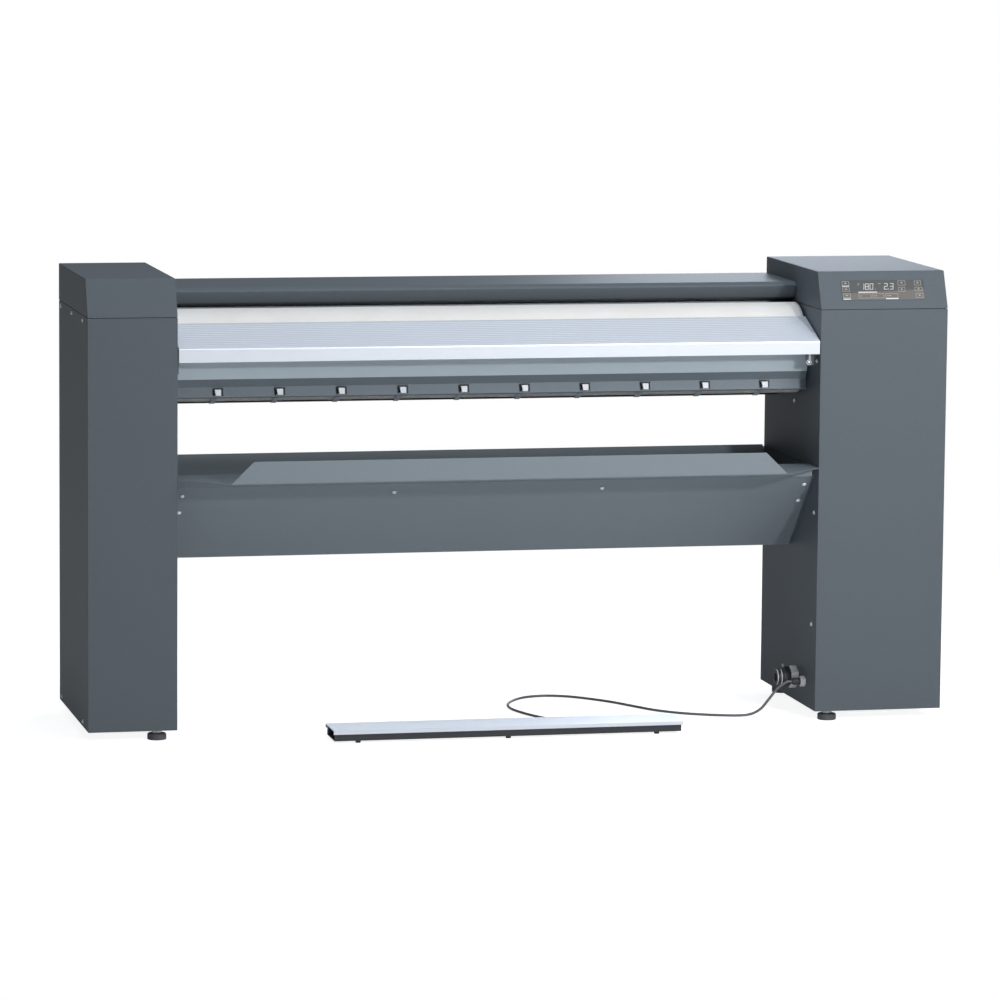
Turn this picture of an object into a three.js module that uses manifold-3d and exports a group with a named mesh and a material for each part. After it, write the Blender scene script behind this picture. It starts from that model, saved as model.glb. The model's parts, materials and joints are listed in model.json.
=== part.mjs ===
// Flatwork ironer with a padded roller between two floor-standing columns.
//
// Machine axes while modelling, in millimetres: X runs right from the outer face of the
// left column, Y runs back from the column fronts, Z runs up from the casings' lower edge.
// The finished group is moved so that its origin is the bottom centre of the machine's box.

import * as THREE from 'three';
import { mergeVertices } from 'three/addons/utils/BufferGeometryUtils.js';
import Module from 'manifold-3d';

const wasm = await Module();
wasm.setup();

// ---------------------------------------------------------------- driving dimensions

// columns
const leftColumnWidth = 200;
const rightColumnWidth = 300;
const columnGap = 1480;
const columnDepth = 467;
const casingHeight = 925;
const capHeight = 85;
const capSlant = 37;
const seam = 1.5;
const sheet = 1.5;
const fit = 0.3;
const bend = 2;
const casingFlange = 14;
const collarWall = 3;
const collarDepth = 18;
const basePlate = 3;
const baseFlange = 30;

// levelling feet
const footHeight = 25;
const footRadius = 21.5;
const footDiscHeight = 14;
const footStud = 6;
const footInset = 40;
const lockNutRadius = 11.5;

// uprights and bearings inside the columns, measured inwards from the column's inner face
const armNear = 6;
const armFar = 14;
const webNear = 20;
const webThickness = 4;
const uprightFront = 110;
const uprightBack = 400;
const uprightFlange = 40;
const uprightTop = 905;
const bearingFlangeRadius = 45;
const bearingFlange = 8;
const bearingBossRadius = 32;
const bearingLength = 24;

// roller
const rollerRadius = 105;
const rollerY = 197;
const rollerZ = 821.5;
const rollerEndGap = 6;
const clothThickness = 2;
const paddingThickness = 6;
const drumWall = 5;
const discThickness = 12;
const discHubRadius = 34;
const discHubLength = 30;
const shaftRadius = 20;
const shaftWindow = 32;
const pulleyNear = 112;
const pulleyWidth = 16;
const rollerPulleyRadius = 60;

// drive
const motorY = 180;
const motorZ = 680;
const motorPulleyRadius = 30;
const motorShaft = 9;
const gearboxSize = 104;
const gearboxDepth = 80;
const motorRadius = 44;
const motorLength = 180;
const beltThickness = 5;

// heated trough behind the roller
const troughGap = 2;
const troughWall = 10;
const troughLowAngle = -60;
const troughHighAngle = 50;
const troughEndGap = 8;
const troughLeadIn = 16;
const troughEdge = 3;
const rodRadius = 4;
const rodAngles = { lower_heating_rod: -30, upper_heating_rod: 28 };
const blanketThickness = 18;
const blanketLowAngle = -48;
const blanketHighAngle = 42;
const pivotY = 215;
const pivotBelowShelf = 4;
const pivotRadius = 10;
const armPivotRadius = 26;
const armPinEyeRadius = 22;
const armPinRadius = 8;
const lugLength = 42;
const lugDepth = 36;
const troughSwing = THREE.MathUtils.degToRad(3);
const camRadius = 40;
const camLift = 8;
const camGap = 0.5;
const camShaft = 6;
const pressMotorSize = 60;
const pressMotorDepth = 66;

// top cover, rear cover and finger guard
const coverFront = 217;
const coverTop = 972;
const coverFrontFlange = 17;
const coverRearFlange = 27;
const rearCoverTop = 960;
const rearCoverBottom = 695;
const rearCoverReturn = 113;
const guardRodY = 210.5;
const guardRodZ = 962.5;
const guardRodRadius = 2.5;
const guardNoseReach = 7.5;
const guardLeanDepth = 26;
const guardLeanDrop = 29.5;
const guardLipDepth = 28;
const guardLipDrop = 8;
const guardCheekDepth = 20;
const guardEndPlate = 2;
const guardEndGap = 1;

// feed board
const boardRearY = 123.5;
const boardRearZ = 900;
const boardFrontY = -2;
const boardFrontZ = 855;
const boardLip = 30;
const boardWall = 3;
const boardNose = 3.5;
const boardEndGap = 3;
const boardRibs = 13;
const boardRibHeight = 0.45;
const boardRibWidth = 3;
const bracketWall = 4;
const leftBracketStrap = 8;
const rightBracketStrap = 24;
const bracketFrontY = 35;
const bracketDepth = 68;
const bracketBottom = 796;

// front panel and strippers
const panelTopY = 75.5;
const panelTopZ = 870;
const panelKneeY = 96.5;
const panelKneeZ = 776.5;
const panelBendY = 106.6;
const panelBendZ = 757.7;
const panelEdgeY = 99;
const panelEdgeZ = 735;
const panelHem = 5;
const stripperCount = 10;
const stripperPitch = 141;
const clipWidth = 16;
const clipTopZ = 753.5;
const clipBottomZ = 739.5;
const clipReach = 9;
const clipBevel = 4;
const slotClear = 1;
const slotLead = 3;
const slotExtra = 6;
const tongueWidth = 12;
const tongueTipY = 176;
const tongueTipZ = 713;

// laundry tray between the columns
const shelfZ = 564;
const shelfFront = -105;
const shelfBend = 85;
const cornerCut = 103;
const upstandHeight = 50;
const upstandBevel = 51;
const trayWallFront = 33;
const trayWallDrop = 23;
const trayWallTopFlange = 29;
const traySeamY = 103;
const traySeamZ = 474;
const trayValleyY = 220;
const trayValleyZ = 358;
const trayHem = 12;
const trayWallEndGap = 6;
const trayEndPlate = 3;
const trayEndFlange = 32;
const trayRimHem = 15;

// cable glands on the right column's inner face
const glandZ = 56.5;
const mainsGlandY = 158;
const mainsGlandRadius = 25;
const mainsGlandLength = 50;
const mainsThread = 18;
const mainsBore = 11;
const switchGlandY = 89;
const switchGlandRadius = 11.5;
const switchGlandLength = 31;
const switchThread = 7.5;

// control panel in the right cap's slanted face
const glassWidth = 196.4;
const glassHeight = 47.4;
const glassLeft = 52;
const glassLow = 21.3;
const glassThickness = 2;
const glassProud = 0.2;
const housingMargin = 5;
const housingDepth = 25;

// foot bar on the floor in front
const barLength = 805;
const barDepth = 100;
const barFront = -96;
const barTop = 6;
const barPlateWall = 2.5;
const barLip = 10;
const barLipWall = 2;
const barLipGap = 3;
const barRibs = 11;
const barRibHeight = 0.7;
const barRibWidth = 3.5;
const barBaseWall = 2;
const barBaseInset = 3;
const barBaseBottom = -19.5;
const barBaseTop = -2;
const barFootRadius = 6;
const barFootInset = 10;
const barPinY = -8;
const barPinZ = -4;
const barPinRadius = 2.5;
const barKnuckleRadius = 5;
const barLugLength = 8;
const barCordX = 1120;
const barCordZ = -12;
const barGlandLength = 14;

// foot switch cord: its free route from the column's gland to the foot bar's gland
const cordRadius = 3;
const cordSides = 8;
const cordSteps = 80;

// ------------------------------------------------------------------- derived positions

const leftInner = leftColumnWidth;
const rightInner = leftColumnWidth + columnGap;
const totalWidth = rightInner + rightColumnWidth;
const gapCentre = (leftInner + rightInner) / 2;
const floorZ = -footHeight;
const pivotZ = shelfZ - pivotBelowShelf;
const casingBack = columnDepth - sheet - fit;
const capBottom = casingHeight + seam;
const capTop = casingHeight + capHeight;
const troughInner = rollerRadius + troughGap;
const troughOuter = troughInner + troughWall;
const blanketInner = troughOuter + 2 * rodRadius + 3 * fit;
const lugY = rollerY + troughOuter + fit;
const armPinY = lugY + lugDepth / 2 + 4;
const armPinZ = rollerZ;

// ----------------------------------------------------------------------------- finishes

const finish = (color, metalness, roughness) =>
  new THREE.MeshStandardMaterial({ color, metalness, roughness });

const paint = {
  ironGrey: finish(0x5a5f66, 0.35, 0.45),
  frameSteel: finish(0x8a8f94, 0.6, 0.5),
  zinc: finish(0xb9bcc2, 0.8, 0.4),
  polishedSteel: finish(0xc4c7cb, 0.9, 0.25),
  aluminium: finish(0xd8dce2, 0.7, 0.35),
  castAluminium: finish(0xa9adb2, 0.7, 0.5),
  cloth: finish(0xece9e2, 0, 0.95),
  felt: finish(0xb8aa92, 0, 0.95),
  blanket: finish(0xcfcabb, 0, 0.95),
  blackRubber: finish(0x2b2b2c, 0, 0.8),
  footPlastic: finish(0x55575a, 0, 0.6),
  glandPlastic: finish(0x2c2e31, 0, 0.5),
  darkGlass: finish(0x5d564f, 0.1, 0.15),
  darkPlastic: finish(0x303236, 0, 0.6),
  motorGrey: finish(0x6c7278, 0.5, 0.5),
  cord: finish(0x3a3c3f, 0, 0.6),
};

// ------------------------------------------------------------------------ shape helpers

const machine = new THREE.Group();

// A closed solid for joining and cutting, from any closed geometry.
function solid(geometry) {
  const plain = geometry.clone();
  plain.deleteAttribute('normal');
  plain.deleteAttribute('uv');
  const merged = mergeVertices(plain, 1e-4);
  const corners = merged.index.array;
  const kept = [];
  for (let i = 0; i < corners.length; i += 3) {
    const [a, b, c] = corners.slice(i, i + 3);
    if (a !== b && b !== c && c !== a) kept.push(a, b, c);
  }
  const vertProperties = merged.attributes.position.array;
  return new wasm.Manifold(
    new wasm.Mesh({ numProp: 3, vertProperties, triVerts: new Uint32Array(kept) }),
  );
}

function geometryOf(body) {
  const mesh = body.getMesh();
  const geometry = new THREE.BufferGeometry();
  geometry.setAttribute('position', new THREE.BufferAttribute(mesh.vertProperties, 3));
  geometry.setIndex(new THREE.BufferAttribute(mesh.triVerts, 1));
  geometry.computeVertexNormals();
  return geometry;
}

const join = (...parts) => geometryOf(parts.map(solid).reduce((a, b) => a.add(b)));
const overlap = (a, b) => geometryOf(solid(a).intersect(solid(b)));
const cut = (base, ...tools) => geometryOf(tools.map(solid).reduce((a, b) => a.subtract(b), solid(base)));

function add(name, geometry, material) {
  const mesh = new THREE.Mesh(geometry, material);
  mesh.name = name;
  machine.add(mesh);
  return mesh;
}

const shapeOf = (points) => new THREE.Shape(points.map(([u, v]) => new THREE.Vector2(u, v)));

// Prisms whose outline is drawn in the plane across their own axis.
function extruded(outline, length) {
  const shape = outline instanceof THREE.Shape ? outline : shapeOf(outline);
  return new THREE.ExtrudeGeometry(shape, { depth: length, bevelEnabled: false, curveSegments: 12 });
}

function alongX(outlineYZ, x0, x1) {
  const basis = new THREE.Matrix4().makeBasis(
    new THREE.Vector3(0, 1, 0), new THREE.Vector3(0, 0, 1), new THREE.Vector3(1, 0, 0),
  );
  return extruded(outlineYZ, x1 - x0).applyMatrix4(basis).translate(x0, 0, 0);
}

function alongY(outlineXZ, y0, y1) {
  return extruded(outlineXZ, y1 - y0).rotateX(Math.PI / 2).translate(0, y1, 0);
}

const alongZ = (outlineXY, z0, z1) => extruded(outlineXY, z1 - z0).translate(0, 0, z0);

function box(x0, x1, y0, y1, z0, z1) {
  return new THREE.BoxGeometry(x1 - x0, y1 - y0, z1 - z0)
    .translate((x0 + x1) / 2, (y0 + y1) / 2, (z0 + z1) / 2);
}

// Round bars along X, Y and Z.
function rodX(radius, x0, x1, y, z, sides = 24) {
  return new THREE.CylinderGeometry(radius, radius, x1 - x0, sides)
    .rotateZ(-Math.PI / 2).translate((x0 + x1) / 2, y, z);
}

function rodY(radius, y0, y1, x, z, sides = 24) {
  return new THREE.CylinderGeometry(radius, radius, y1 - y0, sides)
    .translate(x, (y0 + y1) / 2, z);
}

function rodZ(radius, z0, z1, x, y, sides = 24) {
  return new THREE.CylinderGeometry(radius, radius, z1 - z0, sides)
    .rotateX(Math.PI / 2).translate(x, y, (z0 + z1) / 2);
}

// A turned piece: [radius, height] pairs around the lathe's own axis, listed upwards outside.
function turned(profile, sides = 32) {
  return new THREE.LatheGeometry(profile.map(([r, h]) => new THREE.Vector2(r, h)), sides);
}

// Lays a turned piece's axis along +X or -X from a start point.
function turnedX(profile, x, y, z, direction, sides = 32) {
  return turned(profile, sides).rotateZ((-direction * Math.PI) / 2).translate(x, y, z);
}

// A line moved sideways by a distance, mitred at its corners; positive is to its left.
function offsetLine(line, distance) {
  const heading = (i) => {
    const [a, b] = [line[i], line[i + 1]];
    const length = Math.hypot(b[0] - a[0], b[1] - a[1]);
    return [(b[0] - a[0]) / length, (b[1] - a[1]) / length];
  };
  return line.map(([u, v], i) => {
    const before = heading(Math.max(i - 1, 0));
    const after = heading(Math.min(i, line.length - 2));
    const scale = distance / (1 + before[0] * after[0] + before[1] * after[1]);
    return [u - (before[1] + after[1]) * scale, v + (before[0] + after[0]) * scale];
  });
}

// An outline with some of its corners rounded; radii gives the radius at each such corner.
function rounded(points, radii, steps = 3) {
  const heading = (a, b) => {
    const length = Math.hypot(b[0] - a[0], b[1] - a[1]);
    return [(b[0] - a[0]) / length, (b[1] - a[1]) / length];
  };
  return points.flatMap((corner, i) => {
    const radius = radii[i];
    if (!radius) return [corner];
    const back = heading(corner, points[(i + points.length - 1) % points.length]);
    const on = heading(corner, points[(i + 1) % points.length]);
    const half = Math.acos(back[0] * on[0] + back[1] * on[1]) / 2;
    const inwards = heading([0, 0], [back[0] + on[0], back[1] + on[1]]);
    const centre = corner.map((value, k) => value + (inwards[k] * radius) / Math.sin(half));
    const run = radius / Math.tan(half);
    const angleOf = (way) => Math.atan2(
      corner[1] + way[1] * run - centre[1], corner[0] + way[0] * run - centre[0],
    );
    const from = angleOf(back);
    const turn = Math.atan2(Math.sin(angleOf(on) - from), Math.cos(angleOf(on) - from));
    return Array.from({ length: steps + 1 }, (_, k) => [
      centre[0] + radius * Math.cos(from + (turn * k) / steps),
      centre[1] + radius * Math.sin(from + (turn * k) / steps),
    ]);
  });
}

// Section of a folded sheet: one face follows the line, the other lies to its left. Its
// bends have the given radius inside, and are sharp where none is given.
function foldedSheet(line, thickness, inside = 0, firstBend = 1) {
  const radii = {};
  for (let i = firstBend; inside > 0 && i < line.length - 1; i += 1) {
    const [a, b, c] = [line[i - 1], line[i], line[i + 1]];
    const leftTurn = (b[0] - a[0]) * (c[1] - b[1]) - (b[1] - a[1]) * (c[0] - b[0]) > 0;
    radii[i] = leftTurn === thickness > 0 ? inside + Math.abs(thickness) : inside;
  }
  const face = rounded(line, radii);
  return [...face, ...offsetLine(face, thickness).reverse()];
}

// Points on a circular arc from one angle to another, in degrees.
function arc(cy, cz, radius, from, to, steps) {
  return Array.from({ length: steps + 1 }, (_, i) => {
    const angle = THREE.MathUtils.degToRad(from + ((to - from) * i) / steps);
    return [cy + radius * Math.cos(angle), cz + radius * Math.sin(angle)];
  });
}

// The line stretched round two circles, as a belt or a link lies.
function roundTwo(y0, z0, r0, y1, z1, r1, steps = 14) {
  const towards = THREE.MathUtils.radToDeg(Math.atan2(z1 - z0, y1 - y0));
  const spread = THREE.MathUtils.radToDeg(Math.acos((r0 - r1) / Math.hypot(y1 - y0, z1 - z0)));
  return [
    ...arc(y1, z1, r1, towards - spread, towards + spread, steps),
    ...arc(y0, z0, r0, towards + spread, towards + 360 - spread, steps),
  ];
}

function withHole(outline, hole) {
  const shape = shapeOf(outline);
  shape.holes.push(new THREE.Path(hole.map(([u, v]) => new THREE.Vector2(u, v))));
  return shape;
}

// Where a line through p heading d meets a line through q heading e.
function meet(p, d, q, e) {
  const t = ((q[0] - p[0]) * e[1] - (q[1] - p[1]) * e[0]) / (d[0] * e[1] - d[1] * e[0]);
  return [p[0] + d[0] * t, p[1] + d[1] * t];
}

// A box between two distances into a column from its inner face.
const spanOf = (inner, inward, near, far) => {
  const ends = [inner + inward * near, inner + inward * far];
  return [Math.min(...ends), Math.max(...ends)];
};

// ------------------------------------------------------------------------------ columns

function casing(low, high, inner, cutters) {
  const outline = [
    [low, casingBack], [low, 0], [high, 0], [high, casingBack],
    [high - casingFlange, casingBack], [high - casingFlange, casingBack - sheet],
    [high - sheet, casingBack - sheet], [high - sheet, sheet],
    [low + sheet, sheet], [low + sheet, casingBack - sheet],
    [low + casingFlange, casingBack - sheet], [low + casingFlange, casingBack],
  ];
  const reach = 2 * sheet;
  const swingBack = (armPinZ - pivotZ) * troughSwing;
  const swingDown = (armPinY - pivotY) * troughSwing;
  const armWindow = box(
    inner - reach, inner + reach,
    armPinY - armPinRadius - slotClear, armPinY + armPinRadius + swingBack + slotClear,
    armPinZ - armPinRadius - swingDown - slotClear, armPinZ + armPinRadius + slotClear,
  );
  const shaftHole = rodX(shaftWindow, inner - reach, inner + reach, rollerY, rollerZ, 32);
  return cut(alongZ(outline, 0, casingHeight), shaftHole, armWindow, ...cutters);
}

// Hollow cap with a leaning front and a collar that reaches down inside the casing.
function cap(low, high, cutters) {
  const lean = capSlant / (capTop - capBottom);
  const wallAcross = sheet * Math.hypot(1, lean);
  const frontAt = (z) => lean * (z - capBottom);
  const edge = bend + sheet;
  const side = rounded(
    [[0, capBottom], [columnDepth, capBottom], [columnDepth, capTop], [capSlant, capTop]],
    { 2: edge, 3: edge },
  );
  const front = rounded(
    [[low, capBottom], [high, capBottom], [high, capTop], [low, capTop]], { 2: bend, 3: bend },
  );
  const outer = overlap(alongX(side, low, high), alongY(front, 0, columnDepth));
  const hollow = alongX(
    [
      [frontAt(capBottom - sheet) + wallAcross, capBottom - sheet],
      [columnDepth - sheet, capBottom - sheet],
      [columnDepth - sheet, capTop - sheet],
      [frontAt(capTop - sheet) + wallAcross, capTop - sheet],
    ],
    low + sheet, high - sheet,
  );
  const rimHeight = 12;
  const rimFront = frontAt(capBottom + rimHeight) + fit * 2;
  const collarBack = columnDepth - 2 * sheet - 3 * fit;
  const grip = 0.2;
  const rim = box(
    low + sheet - grip, high - sheet + grip, rimFront, columnDepth - sheet + grip,
    capBottom, capBottom + rimHeight,
  );
  const collar = box(
    low + sheet + fit, high - sheet - fit, rimFront, collarBack,
    capBottom - collarDepth, capBottom + rimHeight / 2,
  );
  const throat = box(
    low + sheet + fit + collarWall, high - sheet - fit - collarWall,
    rimFront + collarWall, collarBack - collarWall,
    capBottom - collarDepth - 1, capBottom + rimHeight + 1,
  );
  return join(cut(outer, hollow, ...cutters), cut(join(rim, collar), throat));
}

function base(low, high, feet) {
  const x0 = low + sheet + fit;
  const x1 = high - sheet - fit;
  const outline = [
    [x0, 0], [x1, 0], [x1, baseFlange], [x1 - basePlate, baseFlange],
    [x1 - basePlate, basePlate], [x0 + basePlate, basePlate],
    [x0 + basePlate, baseFlange], [x0, baseFlange],
  ];
  const plate = alongY(outline, sheet + bend, casingBack - sheet - fit);
  return cut(plate, ...feet.map(([x, y]) => rodZ(footStud + fit, -1, basePlate + 1, x, y)));
}

// Levelling foot: plastic disc, threaded stud and the nut under the base plate.
function levellingFoot(x, y) {
  const discTop = floorZ + footDiscHeight;
  const disc = turned([
    [0, floorZ], [footRadius - 1, floorZ], [footRadius, floorZ + 1],
    [footRadius, discTop - 2], [footRadius - 2, discTop], [0, discTop],
  ], 28).rotateX(Math.PI / 2).translate(x, y, 0);
  const stud = rodZ(footStud, discTop - 1, basePlate + 20, x, y, 20);
  const nut = rodZ(lockNutRadius, discTop + 1.5, -fit, x, y, 6);
  return join(disc, stud, nut);
}

function upright(inner, inward, cutters) {
  const at = (distance) => inner + inward * distance;
  const near = webNear;
  const far = webNear + webThickness;
  const tip = far + uprightFlange;
  const outline = [
    [at(near), uprightFront], [at(tip), uprightFront],
    [at(tip), uprightFront + webThickness], [at(far), uprightFront + webThickness],
    [at(far), uprightBack - webThickness], [at(tip), uprightBack - webThickness],
    [at(tip), uprightBack], [at(near), uprightBack],
  ];
  const [x0, x1] = spanOf(inner, inward, near - 1, far + 1);
  const shaftHole = rodX(shaftRadius + 8, x0, x1, rollerY, rollerZ, 32);
  const pivotHole = rodX(pivotRadius + fit, x0, x1, pivotY, pivotZ);
  return cut(alongZ(outline, basePlate + fit, uprightTop), shaftHole, pivotHole, ...cutters);
}

function bearing(inner, inward) {
  const start = inner + inward * (webNear + webThickness + fit);
  const bore = shaftRadius + fit;
  return turnedX([
    [bore, 0], [bearingFlangeRadius, 0], [bearingFlangeRadius, bearingFlange],
    [bearingBossRadius, bearingFlange], [bearingBossRadius, bearingLength], [bore, bearingLength], [bore, 0],
  ], start, rollerY, rollerZ, inward);
}

// ------------------------------------------------------- control panel on the right cap

// Frame on the right cap's slanted face: u across, v up the slope, w out of the face.
const slantLength = Math.hypot(capSlant, capTop - capBottom);
const slopeUp = new THREE.Vector3(0, capSlant, capTop - capBottom).divideScalar(slantLength);
const slopeOut = new THREE.Vector3(0, -(capTop - capBottom), capSlant).divideScalar(slantLength);
const onSlope = new THREE.Matrix4()
  .makeBasis(new THREE.Vector3(1, 0, 0), slopeUp, slopeOut)
  .setPosition(rightInner, 0, capBottom);

const slopeBox = (u0, u1, v0, v1, w0, w1) => box(u0, u1, v0, v1, w0, w1).applyMatrix4(onSlope);

const glassRight = glassLeft + glassWidth;
const glassHigh = glassLow + glassHeight;

function controlWindow() {
  const reach = 2 * sheet;
  return slopeBox(glassLeft - fit, glassRight + fit, glassLow - fit, glassHigh + fit, -reach, reach);
}

function buildControls() {
  const back = glassProud - glassThickness;
  add('control_glass', slopeBox(
    glassLeft, glassRight, glassLow, glassHigh, back, glassProud,
  ), paint.darkGlass);
  const front = back - fit;
  add('control_housing', slopeBox(
    glassLeft - housingMargin, glassRight + housingMargin,
    glassLow - housingMargin, glassHigh + housingMargin, front - housingDepth, front,
  ), paint.darkPlastic);
}

// ------------------------------------------------------------------- trough arm and cam

const armLength = Math.hypot(armPinY - pivotY, armPinZ - pivotZ);
const armHeading = [(armPinY - pivotY) / armLength, (armPinZ - pivotZ) / armLength];
const armRear = [armHeading[1], -armHeading[0]];
const camOffset = (armPivotRadius + armPinEyeRadius) / 2 + camRadius + camGap;
const camY = (pivotY + armPinY) / 2 + armRear[0] * camOffset;
const camZ = (pivotZ + armPinZ) / 2 + armRear[1] * camOffset;

// Plate on the pivot pin, with the pin and lug that carry one end of the trough.
function troughArm(inner, inward) {
  const [plate0, plate1] = spanOf(inner, inward, armNear, armFar);
  const outline = roundTwo(
    pivotY, pivotZ, armPivotRadius, armPinY, armPinZ, armPinEyeRadius,
  );
  const eye = arc(pivotY, pivotZ, pivotRadius + fit, 0, 345, 23);
  const plate = alongX(withHole(outline, eye), plate0, plate1);
  const [pin0, pin1] = spanOf(inner, inward, armFar - 1, -troughEndGap - lugLength / 2);
  const pin = rodX(armPinRadius, pin0, pin1, armPinY, armPinZ);
  const [lug0, lug1] = spanOf(inner, inward, -troughEndGap, -troughEndGap - lugLength);
  const lug = box(lug0, lug1, lugY, lugY + lugDepth, armPinZ - armPinEyeRadius, armPinZ + armPinEyeRadius);
  return join(plate, pin, lug);
}

// Heart-shaped disc: its radius falls evenly by camLift over half a turn, both ways.
function pressCam() {
  const peak = Math.atan2(-armRear[1], -armRear[0]);
  const sides = 48;
  const outline = Array.from({ length: sides }, (_, i) => {
    const away = (i * 2 * Math.PI) / sides;
    const fall = Math.min(away, 2 * Math.PI - away) / Math.PI;
    const radius = camRadius - camLift * fall;
    return [camY + radius * Math.cos(peak + away), camZ + radius * Math.sin(peak + away)];
  });
  const [disc0, disc1] = spanOf(rightInner, 1, armNear, armFar);
  const [shaft0, shaft1] = spanOf(rightInner, 1, armFar - 1, webNear + webThickness);
  return join(alongX(outline, disc0, disc1), rodX(camShaft, shaft0, shaft1, camY, camZ));
}

// ---------------------------------------------------------------------- build: columns

const footPlaces = {
  left: [footInset, columnDepth - footInset].map((y) => [leftInner - footInset, y]),
  right: [footInset, columnDepth - footInset].map((y) => [rightInner + footInset, y]),
};

function buildColumn(side) {
  const right = side === 'right';
  const low = right ? rightInner : 0;
  const high = right ? totalWidth : leftInner;
  const inner = right ? rightInner : leftInner;
  const inward = right ? 1 : -1;
  const wall = 2 * sheet;
  const glandHoles = right
    ? [
        rodX(mainsThread + fit, inner - wall, inner + wall, mainsGlandY, glandZ),
        rodX(switchThread + fit, inner - wall, inner + wall, switchGlandY, glandZ),
      ]
    : [];
  const [web0, web1] = spanOf(inner, inward, webNear - 1, webNear + webThickness + 1);
  const camHole = right ? [rodX(camShaft + fit, web0, web1, camY, camZ)] : [];
  add(`${side}_casing`, casing(low, high, inner, glandHoles), paint.ironGrey);
  add(`${side}_cap`, cap(low, high, right ? [controlWindow()] : []), paint.ironGrey);
  add(`${side}_back_panel`, box(
    low + 1, high - 1, columnDepth - sheet, columnDepth, sheet, casingHeight - 1,
  ), paint.ironGrey);
  add(`${side}_base`, base(low, high, footPlaces[side]), paint.frameSteel);
  add(`${side}_upright`, upright(inner, inward, camHole), paint.frameSteel);
  add(`${side}_bearing`, bearing(inner, inward), paint.castAluminium);
  const [pivot0, pivot1] = spanOf(inner, inward, armNear - 3, webNear + webThickness);
  add(`${side}_arm_pivot`, rodX(pivotRadius, pivot0, pivot1, pivotY, pivotZ), paint.polishedSteel);
  footPlaces[side].forEach(([x, y], i) => {
    add(`${side}_foot_${i === 0 ? 'front' : 'rear'}`, levellingFoot(x, y), paint.footPlastic);
  });
  add(`${side}_trough_arm`, troughArm(inner, inward), paint.frameSteel);
}

// ----------------------------------------------------------------------- build: roller

function buildRoller() {
  const x0 = leftInner + rollerEndGap;
  const x1 = rightInner - rollerEndGap;
  const clothInner = rollerRadius - clothThickness;
  const paddingOuter = clothInner - fit;
  const paddingInner = paddingOuter - paddingThickness;
  const drumOuter = paddingInner - fit;
  const drumInner = drumOuter - drumWall;
  const sleeve = (outer, bore, sides) => turnedX(
    [[bore, 0], [outer, 0], [outer, x1 - x0], [bore, x1 - x0], [bore, 0]], x0, rollerY, rollerZ, 1, sides,
  );
  add('roller_cloth', sleeve(rollerRadius, clothInner, 64), paint.cloth);
  add('roller_padding', sleeve(paddingOuter, paddingInner, 64), paint.felt);
  add('roller_drum', sleeve(drumOuter, drumInner, 64), paint.frameSteel);
  const bore = shaftRadius + fit;
  const disc = [
    [bore, 0], [drumInner - fit, 0], [drumInner - fit, discThickness],
    [discHubRadius, discThickness], [discHubRadius, discHubLength], [bore, discHubLength], [bore, 0],
  ];
  add('roller_left_disc', turnedX(disc, x0, rollerY, rollerZ, 1, 64), paint.castAluminium);
  add('roller_right_disc', turnedX(disc, x1, rollerY, rollerZ, -1, 64), paint.castAluminium);
  const shaftLeft = leftInner - webNear - webThickness - bearingLength - 4;
  const shaftRight = rightInner + pulleyNear + pulleyWidth + 4;
  add('roller_shaft', rodX(shaftRadius, shaftLeft, shaftRight, rollerY, rollerZ, 32), paint.polishedSteel);
}

// ------------------------------------------------------------------------ build: drive

function buildDrive() {
  const pulley0 = rightInner + pulleyNear;
  const pulley1 = pulley0 + pulleyWidth;
  const bore = shaftRadius + fit;
  add('roller_pulley', turnedX([
    [bore, 0], [rollerPulleyRadius, 0], [rollerPulleyRadius, pulleyWidth], [bore, pulleyWidth], [bore, 0],
  ], pulley0, rollerY, rollerZ, 1, 40), paint.castAluminium);
  const gearbox0 = rightInner + webNear + webThickness + fit;
  const gearbox1 = gearbox0 + gearboxDepth;
  add('motor_pulley', join(
    rodX(motorPulleyRadius, pulley0, pulley1, motorY, motorZ, 32),
    rodX(motorShaft, gearbox1 + fit, pulley0 + 1, motorY, motorZ),
  ), paint.castAluminium);
  const loop = (extra) => roundTwo(
    motorY, motorZ, motorPulleyRadius + extra, rollerY, rollerZ, rollerPulleyRadius + extra, 20,
  );
  const slack = 0.5;
  add('drive_belt', alongX(
    withHole(loop(slack + beltThickness), loop(slack)), pulley0 + 1, pulley1 - 1,
  ), paint.blackRubber);
  const half = gearboxSize / 2;
  const motorX = (gearbox0 + gearbox1) / 2;
  add('gear_motor', join(
    box(gearbox0, gearbox1, motorY - half, motorY + half, motorZ - half, motorZ + half),
    rodZ(motorRadius - 6, motorZ - half - motorLength, motorZ, motorX, motorY, 28),
  ), paint.motorGrey);
  const press0 = gearbox0;
  const reach = pressMotorSize / 2;
  add('press_motor', box(
    press0, press0 + pressMotorDepth, camY - reach, camY + reach, camZ - reach, camZ + reach,
  ), paint.motorGrey);
  add('press_cam', pressCam(), paint.polishedSteel);
}

// ----------------------------------------------------------------------- build: trough

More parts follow.
